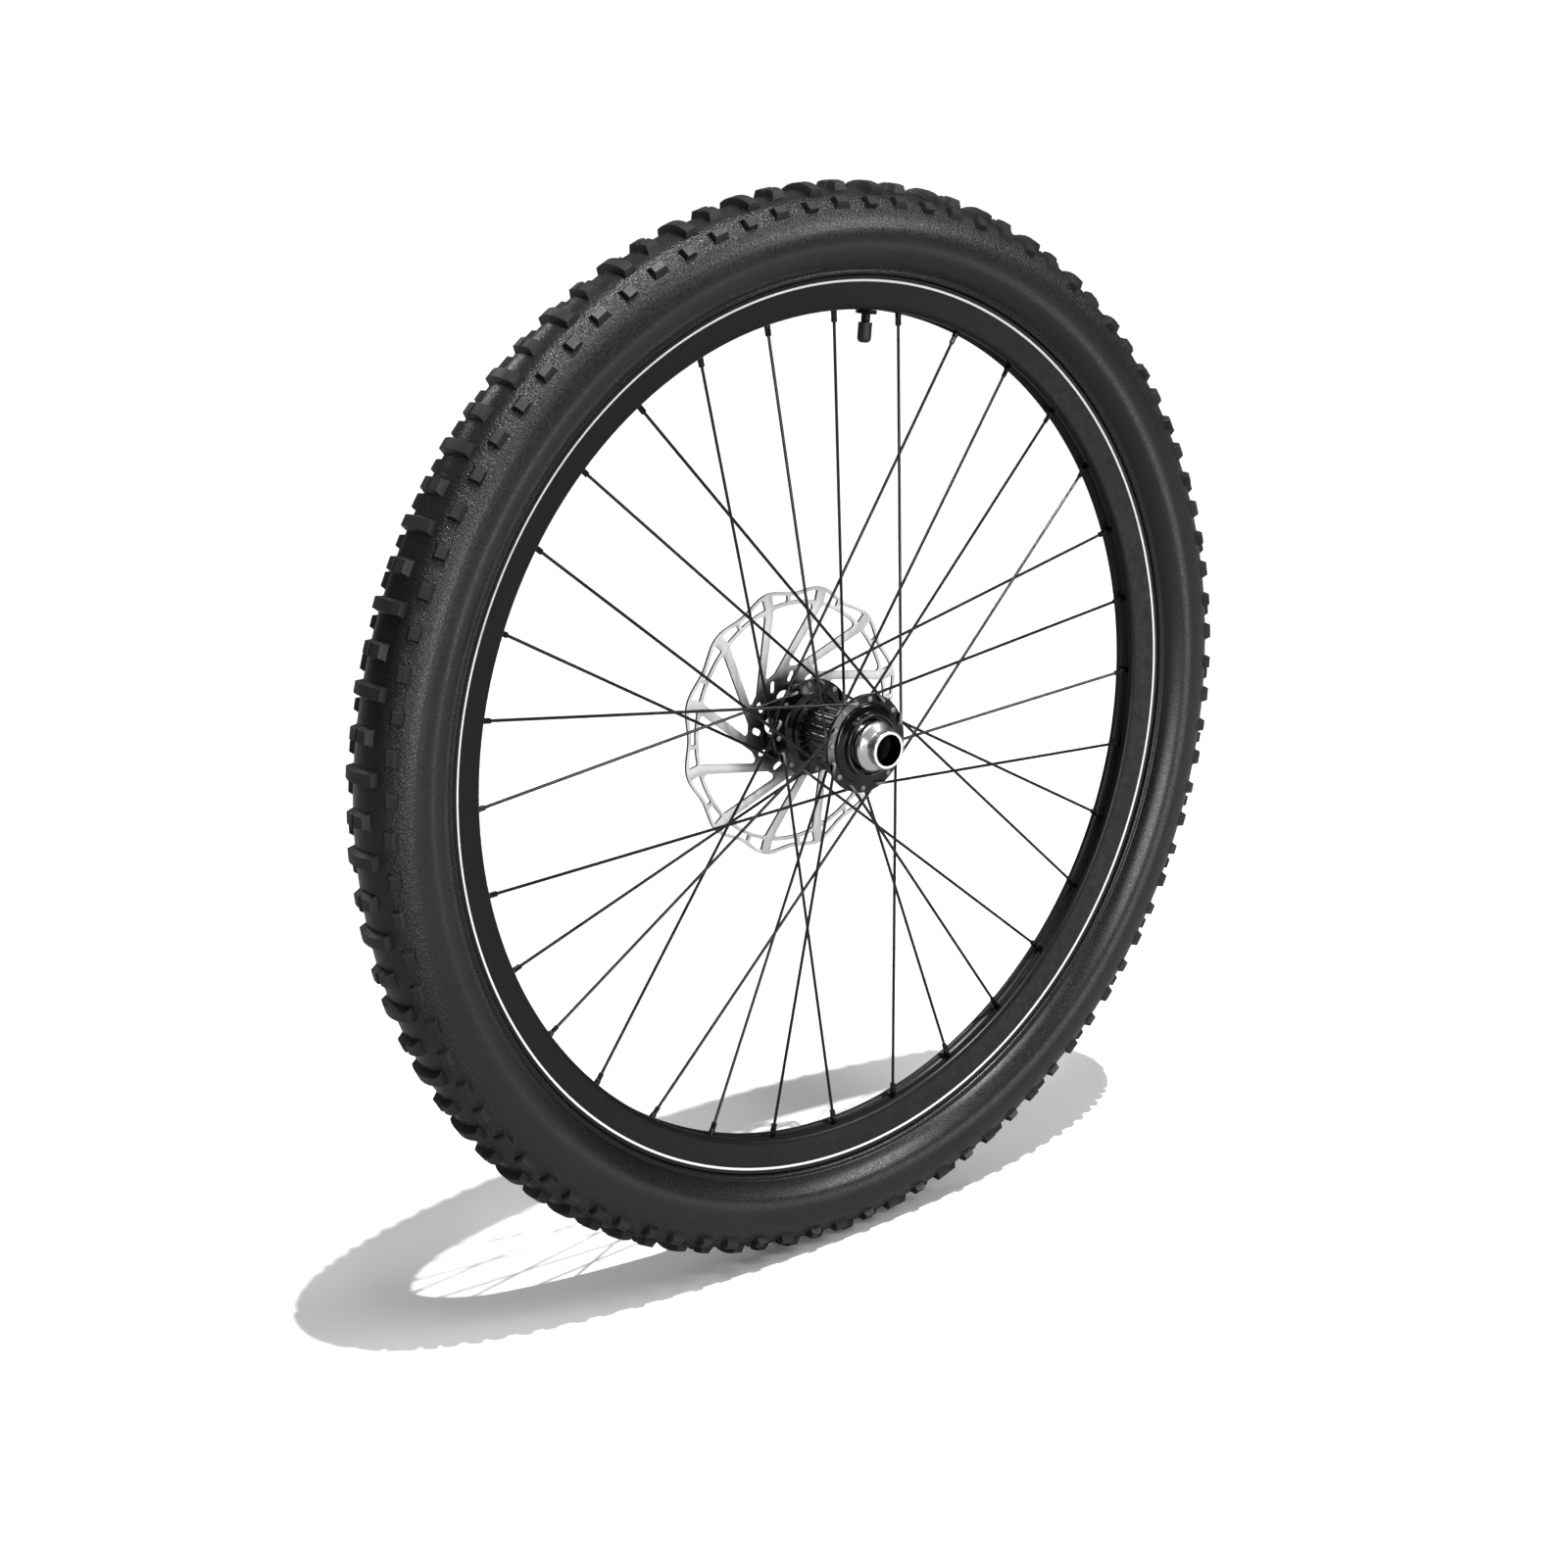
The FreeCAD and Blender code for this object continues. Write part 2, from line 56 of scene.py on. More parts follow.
# tyre section: an ellipse over its centre radius
SECTION_R = 321.0
SECTION_A = 29.2
SECTION_B = 27.5
CASING_WALL = 1.8

# tread: blocks per row, depth of their roots in the casing, heights and broken edges
PITCHES = 45
LUG_ROOT = 0.6
CROWN_LUG = 4.3
SIDE_LUG = 3.8
LUG_BEVEL = 0.12
NOTCH_HALF = 1.5
NOTCH_DEPTH = 1.2
NOTCHED_R = 33.5

# rim: the tilted wall where the stripe lies, as (radius, y), and the stripe's paint
STRIPE_WALL = [(292.8, 12.678), (294.2, 13.035)]
STRIPE_SINK = 0.05
STRIPE_PROUD = 0.1

# spokes
SPOKES = 32
SPOKE_R = 1.0
SPOKE_HOLES_R = 29.4
SPOKE_HOLE_R = 1.3
AIM_R = 276.13
FIRST_NIPPLE = 90.0
TRAILING_TURN = 73.125
LEADING_TURN = -61.875
FLANGE_RIGHT = (-32.7, -30.0)
FLANGE_LEFT = (21.6, 24.4)
ELBOW_RIGHT = -31.5
ELBOW_LEFT = 23.25
ELBOW_STEP = 3.2
ELBOW_REACH = 1.5
HEAD_OVERLAP = 0.4
NIPPLE_OVERLAP = 2.5
NIPPLE_BACK = 9.1

# hub: drilled flanges, flutes along the barrel, scallops between the rotor bolts
HOLE_PHASE_RIGHT = 16.875
HOLE_PHASE_LEFT = 28.125
BARREL_R = 18.9
FLUTES = 24
FLUTE_FROM, FLUTE_TO = -20.0, 12.0
FLUTE_CUT_R = 2.2
FLUTE_AXIS_R = 20.3
SCALLOP_CUT_R = 6.5
SCALLOP_AXIS_R = 26.7

# rotor and its bolts
ROTOR_Y = 41.5
ROTOR_T = 1.8
BOLTS = 6
BOLT_CIRCLE_R = 22.0
BOLT_PHASE = 28.0

# valve
VALVE_ANGLE = 84.375
THREAD_TURNS = 8
THREAD_START = 267.8
THREAD_PITCH = 0.9
CAP_RIBS = 18
NUT_HALF_FLATS = 6.25

# end cap bore, painted shade: dark inside this radius
CAP_BORE = 10.4

# stage, in metres
FLOOR_Z = -0.3545
FLOOR_HALF = 14.0
CAMERA_PLACE = (-0.9512, -1.1327, 0.3963)
CAMERA_TARGET = (-0.03768, 0.0, 0.01296)
CAMERA_ROLL = -0.29
LENS = 53.53
SHIFT = (-0.0032, -0.0384)
SUN_TOWARD = (0.0, -0.29, 1.0)
SUN_STRENGTH = 3.1
SUN_SPREAD = 0.7
SKY_LOW, SKY_HIGH = 0.06, 0.45

# soft panels: name, place, width, height, watts
SOFTBOXES = (
    ("front", (-0.8, -2.9, 0.3), 1.2, 1.2, 36.0),
    ("low_right", (0.56, -0.92, -0.21), 0.25, 0.24, 0.65),
    ("upper_left", (-0.7, -0.9, 2.2), 0.3, 0.4, 6.0),
    ("behind", (-0.4, 1.7, 1.4), 0.5, 0.3, 5.0),
    ("strip_top", (-0.5, -0.6, 1.5), 0.06, 0.5, 1.5),
    ("right", (1.6, -1.8, 1.5), 0.4, 1.2, 24.0),
)


# ---------------------------------------------------------------- meshes

def polar(r, angle, y=0.0):
    """Point at a radius and a wheel angle, from +X toward +Z."""
    return Vector((r * cos(radians(angle)), y, r * sin(radians(angle))))


def soften(outline, fillet, steps=3):
    """Closed outline with every corner replaced by a short curve."""
    points = []
    count = len(outline)
    for i in range(count):
        here = Vector(outline[i])
        before, after = Vector(outline[i - 1]), Vector(outline[(i + 1) % count])
        reach = min(fillet, 0.45 * (before - here).length, 0.45 * (after - here).length)
        start = here + (before - here).normalized() * reach
        end = here + (after - here).normalized() * reach
        for k in range(steps + 1):
            t = k / steps
            points.append(tuple(start * (1 - t) ** 2 + here * 2 * t * (1 - t) + end * t ** 2))
    return points


def flow(points, steps=4):
    """Smooth open curve through the points (Catmull-Rom)."""
    path = []
    last = len(points) - 1
    for i in range(last):
        p0, p1 = Vector(points[max(i - 1, 0)]), Vector(points[i])
        p2, p3 = Vector(points[i + 1]), Vector(points[min(i + 2, last)])
        for k in range(steps):
            t = k / steps
            path.append(tuple(0.5 * (2 * p1 + (p2 - p0) * t + (2 * p0 - 5 * p1 + 4 * p2 - p3) * t ** 2
                                     + (3 * p1 - p0 - 3 * p2 + p3) * t ** 3)))
    return path + [tuple(points[-1])]


def turned(outline, segments, warp=None):
    """(vertices, faces) of a closed (radius, y) outline turned about the axle."""
    verts, faces = [], []
    count = len(outline)
    for s in range(segments):
        angle = 2 * pi * s / segments
        for r, y in outline:
            reach = warp(r, y, angle) if warp else r
            verts.append((reach * cos(angle), y, reach * sin(angle)))
    for s in range(segments):
        a, b = s * count, (s + 1) % segments * count
        for i in range(count):
            j = (i + 1) % count
            faces.append((a + i, a + j, b + j, b + i))
    return verts, faces


def spindle(outline, segments, warp=None):
    """The same for an open (radius, y) outline whose two ends lie on the axis."""
    inner = outline[1:-1]
    verts, faces = [(0, outline[0][1], 0), (0, outline[-1][1], 0)], []
    count = len(inner)
    for s in range(segments):
        angle = 2 * pi * s / segments
        for r, y in inner:
            reach = warp(r, y, angle) if warp else r
            verts.append((reach * cos(angle), y, reach * sin(angle)))
    for s in range(segments):
        a, b = 2 + s * count, 2 + (s + 1) % segments * count
        faces.append((0, a, b))
        faces.append((1, b + count - 1, a + count - 1))
        for i in range(count - 1):
            faces.append((a + i, a + i + 1, b + i + 1, b + i))
    return verts, faces


def placed(part, matrix):
    """The same (vertices, faces) carried by a matrix."""
    verts, faces = part
    return [tuple(matrix @ Vector(v)) for v in verts], faces


def joined(parts):
    """Several (vertices, faces) as one."""
    verts, faces = [], []
    for part_verts, part_faces in parts:
        offset = len(verts)
        verts += part_verts
        faces += [tuple(i + offset for i in face) for face in part_faces]
    return verts, faces


def wheel_turn(angle):
    """Matrix that turns by a wheel angle, from +X toward +Z."""
    return Matrix.Rotation(radians(-angle), 4, "Y")


def around(part, count, phase=0.0):
    """Equal copies set round the axle."""
    return joined([placed(part, wheel_turn(phase + i * 360.0 / count)) for i in range(count)])


def mirror(part):
    """The part as it stands on the other side of the wheel."""
    verts, faces = part
    return [(x, -y, z) for x, y, z in verts], faces


def aimed(start, direction):
    """Matrix that carries +Y onto a direction and the origin onto a point."""
    turn = Vector((0, 1, 0)).rotation_difference(Vector(direction)).to_matrix().to_4x4()
    return Matrix.Translation(start) @ turn


def sweep(path, radius, sides=14):
    """Round bar along a path of points, closed at both ends."""
    verts, faces = [], []
    across = None
    for i, point in enumerate(path):
        ahead = path[min(i + 1, len(path) - 1)] - path[max(i - 1, 0)]
        ahead.normalize()
        if across is None:
            across = ahead.orthogonal().normalized()
        across = (across - ahead * across.dot(ahead)).normalized()
        other = ahead.cross(across)
        for k in range(sides):
            a = 2 * pi * k / sides
            verts.append(tuple(point + (across * cos(a) + other * sin(a)) * radius))
    for i in range(len(path) - 1):
        for k in range(sides):
            j = (k + 1) % sides
            faces.append((i * sides + k, i * sides + j, (i + 1) * sides + j, (i + 1) * sides + k))
    faces.append(tuple(range(sides)))
    faces.append(tuple(range((len(path) - 1) * sides, len(path) * sides)))
    return verts, faces


def off_centre(angle, count):
    """Angle from the middle of the nearest of equal sectors round a turn."""
    pitch = 2 * pi / count
    return (angle + pitch / 2) % pitch - pitch / 2


def piece(name, part, material, body, replaced=(), sharp=SHARP_EDGE):
    """Object from (vertices, faces) in millimetres, riding on a CAD body."""
    verts, faces = part
    mesh = bpy.data.meshes.new(name)
    mesh.from_pydata([(x * MM, y * MM, z * MM) for x, y, z in verts], [], faces)
    work = bmesh.new()
    work.from_mesh(mesh)
    bmesh.ops.remove_doubles(work, verts=work.verts, dist=1e-7)
    bmesh.ops.recalc_face_normals(work, faces=work.faces)
    work.to_mesh(mesh)
    work.free()
    mesh.shade_smooth()
    mesh.set_sharp_from_angle(angle=radians(sharp))
    mesh.materials.append(material)
    obj = bpy.data.objects.new(name, mesh)
    bpy.context.scene.collection.objects.link(obj)
    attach(obj, body)
    if replaced:
        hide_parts(*replaced)
    return obj


def bevelled(part, offset, angle=30.0, segments=2):
    """The same part with its sharp edges bevelled."""
    verts, faces = part
    work = bmesh.new()
    new = [work.verts.new(v) for v in verts]
    for face in faces:
        work.faces.new([new[i] for i in face])
    bmesh.ops.recalc_face_normals(work, faces=work.faces)
    edges = [e for e in work.edges if e.is_manifold and e.calc_face_angle() > radians(angle)]
    bmesh.ops.bevel(work, geom=edges, offset=offset, segments=segments, profile=0.5,
                    affect="EDGES", clamp_overlap=True)
    work.verts.index_update()
    result = [tuple(v.co) for v in work.verts], [tuple(v.index for v in f.verts) for f in work.faces]
    work.free()
    return result


# ---------------------------------------------------------------- materials

class Look:
    """A procedural material: nodes are added by short calls and linked to one shader."""

    def __init__(self, name, color, roughness, metallic=0.0, coat=0.0, specular=0.5):
        self.material = bpy.data.materials.new(name)
        self.material.use_nodes = True
        self.tree = self.material.node_tree
        self.shader = self.tree.nodes["Principled BSDF"]
        self.shader.inputs["Base Color"].default_value = (*color, 1.0)
        self.shader.inputs["Roughness"].default_value = roughness
        self.shader.inputs["Metallic"].default_value = metallic
        self.shader.inputs["Coat Weight"].default_value = coat
        self.shader.inputs["Coat Roughness"].default_value = 0.1
        self.shader.inputs["Specular IOR Level"].default_value = specular

    def node(self, kind, **settings):
        node = self.tree.nodes.new(kind)
        for key, value in settings.items():
            setattr(node, key, value)
        return node

    def link(self, source, target):
        self.tree.links.new(source, target)

    def place(self):
        return self.node("ShaderNodeTexCoord").outputs["Object"]

    def noise(self, scale, detail=3.0, rough=0.5, where=None):
        noise = self.node("ShaderNodeTexNoise")
        noise.inputs["Scale"].default_value = scale
        noise.inputs["Detail"].default_value = detail
        noise.inputs["Roughness"].default_value = rough
        self.link(where or self.place(), noise.inputs["Vector"])
        return noise.outputs["Fac"]

    def ramp(self, source, stops):
        """Colour ramp; stops are (position, colour)."""
        ramp = self.node("ShaderNodeValToRGB")
        elements = ramp.color_ramp.elements
        while len(elements) < len(stops):
            elements.new(0.5)
        for element, (position, color) in zip(elements, stops):
            element.position = position
            element.color = (*color, 1.0)
        self.link(source, ramp.inputs["Fac"])
        return ramp.outputs["Color"]

    def spread(self, source, low, high, source_low=0.3, source_high=0.7):
        """The source value mapped onto a range."""
        node = self.node("ShaderNodeMapRange")
        node.inputs["From Min"].default_value = source_low
        node.inputs["From Max"].default_value = source_high
        node.inputs["To Min"].default_value = low
        node.inputs["To Max"].default_value = high
        self.link(source, node.inputs["Value"])
        return node.outputs["Result"]

    def math(self, operation, first, second=None):
        """One step of arithmetic on one or two values or sockets."""
        node = self.node("ShaderNodeMath", operation=operation)
        for socket, value in zip(node.inputs, (first, second)):
            if value is None:
                continue
            if isinstance(value, (int, float)):
                socket.default_value = value
            else:
                self.link(value, socket)
        return node.outputs["Value"]

    def axes(self):
        """The place's x, y and z as separate values, in metres."""
        split = self.node("ShaderNodeSeparateXYZ")
        self.link(self.place(), split.inputs["Vector"])
        return split.outputs["X"], split.outputs["Y"], split.outputs["Z"]

    def length(self, first, second):
        """Length of a flat vector from its two sides."""
        squares = [self.math("MULTIPLY", side, side) for side in (first, second)]
        return self.math("SQRT", self.math("ADD", *squares))

    def radius(self):
        """Distance from the axle."""
        x, _, z = self.axes()
        return self.length(x, z)

    def angle(self):
        """Angle about the axle, in radians."""
        x, _, z = self.axes()
        return self.math("ARCTAN2", z, x)

    def vector(self, x, y, z):
        """Three values or sockets as one vector."""
        node = self.node("ShaderNodeCombineXYZ")
        for socket, value in zip(node.inputs, (x, y, z)):
            if isinstance(value, (int, float)):
                socket.default_value = value
            else:
                self.link(value, socket)
        return node.outputs["Vector"]

    def mixed(self, kind, factor, first, second):
        """Two colours blended; any of the three may be a socket or a value."""
        node = self.node("ShaderNodeMixRGB", blend_type=kind)
        for socket, value in zip(node.inputs, (factor, first, second)):
            if isinstance(value, bpy.types.NodeSocket):
                self.link(value, socket)
            else:
                socket.default_value = value if isinstance(value, float) else (*value, 1.0)
        return node.outputs["Color"]

    def section_rise(self):
        """Height over the tyre's carcass, in metres."""
        up = self.math("SUBTRACT", self.radius(), SECTION_R * MM)
        out = self.math("MULTIPLY", self.axes()[1], SECTION_A / SECTION_B)
        return self.math("SUBTRACT", self.length(up, out), SECTION_A * MM)

    def color(self, source):
        self.link(source, self.shader.inputs["Base Color"])

    def roughness(self, source):
        self.link(source, self.shader.inputs["Roughness"])

    def bump(self, *heights):
        """Each height is (value, distance in metres)."""
        normal = None
        for value, distance in heights:
            node = self.node("ShaderNodeBump")
            node.inputs["Distance"].default_value = distance
            self.link(value, node.inputs["Height"])
            if normal:
                self.link(normal, node.inputs["Normal"])
            normal = node.outputs["Normal"]
        self.link(normal, self.shader.inputs["Normal"])


def grey(level, tint=0.0):
    """A grey, with its blue part raised by the tint."""
    return (level, level, level * (1 + tint))


class Rubber(Look):
    """Moulded rubber: an even tone, patchy gloss and pebbles for its skin."""

    def __init__(self, name, level, rough):
        super().__init__(name, grey(level), 0.45)
        self.tone = self.ramp(self.noise(14.0, 4.0),
                              [(0.3, grey(level * 0.85)), (0.7, grey(level * 1.2, 0.02))])
        self.pebbles = self.noise(620.0, 2.0, 0.7)
        self.grain = self.noise(2600.0, 2.0)
        self.roughness(self.spread(self.noise(900.0, 2.0), *rough))

    def shaded(self, shade):
        self.color(self.mixed("MULTIPLY", 1.0, self.tone, shade))


def tube_look(name, level):
    """Plain rubber with a fine pebbled skin."""
    look = Rubber(name, level, (0.3, 0.5))
    look.color(look.tone)
    look.bump((look.pebbles, 0.00015), (look.grain, 0.00005))
    return look.material


def carcass_look(name, level):
    """Painted shade, dark toward the rim and between the centre blocks; coarsely pebbled on the
    shoulder.
    """
    look = Rubber(name, level, (0.18, 0.42))
    reach = look.spread(look.radius(), 0.0, 1.0, 0.299, 0.351)
    # painted shade: darker near the rim and on the crown between the centre blocks
    look.shaded(look.ramp(reach, [(0.0, grey(0.06)), (0.35, grey(1.0)),
                                  (0.82, grey(1.0)), (0.92, grey(0.25))]))
    coarse = look.ramp(reach, [(0.55, grey(0.05)), (0.74, grey(1.0)),
                               (0.84, grey(1.0)), (0.93, grey(0.3))])
    look.bump((look.math("MULTIPLY", look.pebbles, coarse), 0.001), (look.grain, 0.00003))
    return look.material


def tread_look(name, level):
    """Blocks with painted shade: dark feet and lighter tops."""
    look = Rubber(name, level, (0.38, 0.58))
    height = look.spread(look.section_rise(), 0.0, 1.0, 0.0015, 0.0036)
    # painted shade: the blocks darken toward their feet
    look.shaded(look.ramp(height, [(0.0, grey(0.12)), (1.0, grey(1.0))]))
    look.bump((look.pebbles, 0.00015), (look.grain, 0.00005))
    return look.material


def satin_look(name, level, rough, grain=1800.0, specular=0.5):
    """Anodised or painted metal with a faint grain and soft wear."""
    look = Look(name, grey(level), rough, specular=specular)
    look.color(look.ramp(look.noise(30.0, 5.0), [(0.3, grey(level * 0.85)), (0.75, grey(level * 1.25))]))
    look.roughness(look.spread(look.noise(220.0, 4.0), rough * 0.85, rough * 1.15))
    look.bump((look.noise(grain, 2.0), 0.000012))
    return look.material


def spoke_look(name):
    """Black-coated wire with a painted highlight, lighter at the elbow and head in the flange."""
    look = Look(name, grey(0.003), 0.2)
    reach = look.spread(look.radius(), 0.0, 1.0, 0.0305, 0.034)
    # painted highlight: lighter grey near the flange, at the elbows and heads
    painted_highlight = look.math("ADD", reach, look.spread(look.noise(900.0, 2.0), -0.1, 0.1))
    look.color(look.ramp(painted_highlight, [(0.0, grey(0.22)), (0.9, grey(0.003))]))
    look.roughness(look.spread(look.noise(220.0, 4.0), 0.16, 0.26))
    return look.material


def machined_look(name, level, rough, bore=0.0):
    """Bright metal with fine rings from the lathe, and painted shade that makes it black inside a bore.
    """
    look = Look(name, grey(level), rough, metallic=1.0)
    radius = look.radius()
    rings = look.noise(1.0, 2.0, where=look.vector(look.math("MULTIPLY", radius, 5200.0),
                                                   look.math("MULTIPLY", look.axes()[1], 5200.0),
                                                   look.math("MULTIPLY", look.angle(), 0.6)))
    tone = look.ramp(rings, [(0.25, grey(level * 0.86)), (0.75, grey(min(level * 1.08, 1.0)))])
    if bore:
        # painted shade: near-black inside the bore
        tone = look.mixed("MIX", look.math("GREATER_THAN", radius, bore * MM), grey(0.006), tone)
    look.color(tone)
    look.roughness(look.spread(rings, rough * 0.8, rough * 1.3))
    look.bump((rings, 0.00001))
    return look.material


def rotor_look(name):
    """Ground steel, bright in the braking band and darker toward the carrier, partly its coating and
    partly painted shade that reaches further out on the -X side.
    """
    look = Look(name, grey(0.7), 0.32, metallic=0.25)
    radius, angle = look.radius(), look.angle()
    grind = look.noise(1.0, 3.0, 0.6, where=look.vector(look.math("MULTIPLY", radius, 2600.0), 0.0,
                                                        look.math("MULTIPLY", angle, 9.0)))
    # painted shade: the dark fade reaches further out on the -X side
    reach = look.math("ADD", radius, look.math("MULTIPLY", look.math("COSINE", angle), 0.011))
    shade = look.math("ADD", look.spread(reach, 0.0, 1.0, 0.020, 0.051),
                      look.spread(look.noise(60.0, 3.0), -0.08, 0.08))
    tone = look.ramp(shade, [(0.0, grey(0.012)), (0.3, grey(0.06)), (0.6, grey(0.45)), (1.0, grey(0.8))])
    tone = look.mixed("MULTIPLY", 1.0, tone, look.ramp(grind, [(0.2, grey(0.84)), (0.8, grey(1.0))]))
    facing = look.node("ShaderNodeSeparateXYZ")
    look.link(look.node("ShaderNodeNewGeometry").outputs["True Normal"], facing.inputs["Vector"])
    flat = look.math("GREATER_THAN", look.math("ABSOLUTE", facing.outputs["Y"]), 0.5)
    look.color(look.mixed("MIX", flat, grey(0.03), tone))
    look.roughness(look.spread(grind, 0.26, 0.42))
    look.bump((grind, 0.000015))
    return look.material


def paint_look(name, color, rough):
    """Even colour with faint patches and a thin clear coat."""
    look = Look(name, color, rough, coat=0.2)
    low = tuple(c * 0.93 for c in color)
    look.color(look.ramp(look.noise(90.0, 3.0), [(0.3, low), (0.7, color)]))
    look.roughness(look.spread(look.noise(400.0, 2.0), rough * 0.9, rough * 1.1))
    return look.material


def floor_look(name):
    """White to the eye, but a weak reflector for the wheel standing on it."""
    look = Look(name, grey(0.93), 0.9, specular=0.1)
    white = look.ramp(look.noise(3.0, 2.0), [(0.3, grey(0.925)), (0.7, grey(0.935))])
    seen = look.node("ShaderNodeLightPath").outputs["Is Camera Ray"]
    look.color(look.mixed("MIX", seen, grey(0.28), white))
    return look.material


TYRE = carcass_look("tyre_rubber", 0.011)
TREAD = tread_look("tread_rubber", 0.011)
SOFT_RUBBER = tube_look("tube_rubber", 0.02)
RIM = satin_look("rim_black", 0.004, 0.32, specular=0.25)
HUB = satin_look("hub_black", 0.002, 0.075, specular=0.6)
SPOKE = spoke_look("spoke_black")
BLACK = satin_look("black_fittings", 0.004, 0.25, specular=0.3)
SILVER = machined_look("machined_silver", 0.86, 0.2, bore=CAP_BORE)
STEEL = machined_look("ground_steel", 0.7, 0.15)
BRASS = paint_look("valve_brass", (0.55, 0.42, 0.18), 0.3)
ROTOR = rotor_look("rotor_steel")
STRIPE = paint_look("stripe_white", (0.86, 0.86, 0.86), 0.35)
PLASTIC = satin_look("black_plastic", 0.014, 0.45, grain=900.0)
NYLON = paint_look("cage_nylon", (0.35, 0.3, 0.2), 0.5)


# ---------------------------------------------------------------- tyre

def over_crown(foot, inset):
    """Section from one foot over the crown to the other, inset from the outer skin."""
    a, b = SECTION_A - inset, SECTION_B - inset
    crown = [(SECTION_R + a * cos(t * pi / 12), b * sin(t * pi / 12)) for t in range(6, -7, -1)]
    return foot + crown + [(r, -y) for r, y in reversed(foot)]


def casing():
    """Tyre casing: outer skin, inner skin and the two beads in the rim."""
    outer_foot = [(300.6, 15.6), (304.5, 20.3), (310.0, 24.6), (315.5, 26.8)]
    inner_foot = [(302.3, 14.6), (306.0, 19.0), (311.0, 23.0), (315.9, 25.0)]
    outer = flow(over_crown(outer_foot, 0.0), 5)
    inner = flow(over_crown(inner_foot, CASING_WALL), 3)
    bead = [(299.9, 15.5), (299.4, 15.75), (298.8, 15.75), (298.3, 15.5), (297.6, 14.8), (297.3, 14.3),
            (297.2, 11.7), (292.3, 11.6), (292.3, 8.0), (296.5, 8.2)]
    far_bead = [(r, -y) for r, y in bead]
    return turned(outer + far_bead + list(reversed(inner)) + list(reversed(bead)), TYRE_SEGMENTS)


def section_point(phi, rise, z):
    """Point over the casing's skin; phi runs from the crown toward +Y."""
    c, s = cos(radians(phi)), sin(radians(phi))
    reach = 1 / sqrt((c / SECTION_A) ** 2 + (s / SECTION_B) ** 2) + rise
    return (SECTION_R + reach * c, reach * s, z)


def block(stations):
    """Closed bar from stations of (base phi, top phi, top rise, base half, top half)."""
    verts, faces = [], []
    for base_phi, top_phi, rise, base_half, top_half in stations:
        verts += [section_point(base_phi, -LUG_ROOT, -base_half),
                  section_point(top_phi, rise, -top_half),
                  section_point(top_phi, rise, top_half),
                  section_point(base_phi, -LUG_ROOT, base_half)]
    for i in range(len(stations) - 1):
        a, b = 4 * i, 4 * i + 4
        faces += [(a + k, a + (k + 1) % 4, b + (k + 1) % 4, b + k) for k in range(4)]
    last = 4 * len(stations) - 4
    return verts, faces + [(0, 1, 2, 3), (last, last + 1, last + 2, last + 3)]


def crown_bar(base_phi, top_phi, base_width, top_width, notch=False):
    """Block lying across the crown, with a notch cut along the tyre if asked."""
    steps = [-1.0, -0.66, -0.33, 0.0, 0.33, 0.66, 1.0]
    drops = dict.fromkeys(steps, 0.0)
    if notch:
        edge = NOTCH_HALF / NOTCHED_R / radians(top_phi)
        steps = [-1.0, -0.55, -edge - 0.02, -edge, edge, edge + 0.02, 0.55, 1.0]
        drops = {step: NOTCH_DEPTH if abs(step) < edge + 0.01 else 0.0 for step in steps}
    stations = [(s * base_phi, s * top_phi, CROWN_LUG - drops[s], base_width / 2, top_width / 2)
                for s in steps]
    return bevelled(block(stations), LUG_BEVEL)


def side_block(base_phi, top_phi, base_length, top_length):
    """Block on the shoulder between two section angles."""
    stations = [(base_phi[i], top_phi[i], SIDE_LUG, base_length / 2, top_length / 2) for i in (0, 1)]
    return bevelled(block(stations), LUG_BEVEL)


def build_tyre():
    piece("tyre_carcass", casing(), TYRE, "wheel", ["tyre_casing"], sharp=60.0)
    wide = crown_bar(base_phi=30.0, top_phi=26.0, base_width=9.9, top_width=6.8)
    narrow = crown_bar(base_phi=20.5, top_phi=15.0, base_width=10.4, top_width=7.2, notch=True)
    square = side_block(base_phi=(36.2, 53.6), top_phi=(41.7, 52.3), base_length=9.6, top_length=6.6)
    bevel = side_block(base_phi=(35.6, 54.5), top_phi=(39.8, 47.8), base_length=11.5, top_length=8.5)
    # name, blocks in one pitch, wheel angle of the first
    rows = (
        ("centre_wide", [wide], 6.25),
        ("centre_narrow", [narrow], 2.4),
        ("side_square", [square, mirror(square)], 0.07),
        ("side_bevel", [bevel, mirror(bevel)], 3.96),
    )
    for name, lugs, phase in rows:
        blocks = joined([around(lug, PITCHES, phase) for lug in lugs])
        piece("tread_blocks_" + name, blocks, TREAD, "wheel", ["tread_" + name], sharp=12.0)


# ---------------------------------------------------------------- rim

def rim_outline():
    """Closed (radius, y) section: walls, spoke bed's groove and the tyre's bed."""
    half = [(296.5, 12.1), (296.9, 12.4), (297.0, 12.8), (296.8, 13.3), (296.4, 13.6),
            (279.6, 9.3), (278.6, 9.0), (277.4, 8.6), (276.3, 8.0), (275.4, 7.0), (275.05, 6.0),
            (275.0, 5.3), (275.1, 4.8)]
    groove = [(278.4 - 3.4 * (y / 4.8) ** 2, y) for y in (4.4, 3.6, 2.6, 1.3, 0, -1.3, -2.6, -3.6, -4.4)]
    bed = [(292.1, 12.0), (291.9, 9.5), (291.7, 7.5), (287.0, 5.0)]
    return (half + groove + [(r, -y) for r, y in reversed(half)]
            + [(r, -y) for r, y in bed] + list(reversed(bed)))


def stripe(side):
    """Thin painted ring set slightly into the rim's wall."""
    root = [(r, side * (s - STRIPE_SINK)) for r, s in STRIPE_WALL]
    skin = [(r, side * (s + STRIPE_PROUD)) for r, s in reversed(STRIPE_WALL)]
    return turned(root + skin, RIM_SEGMENTS)


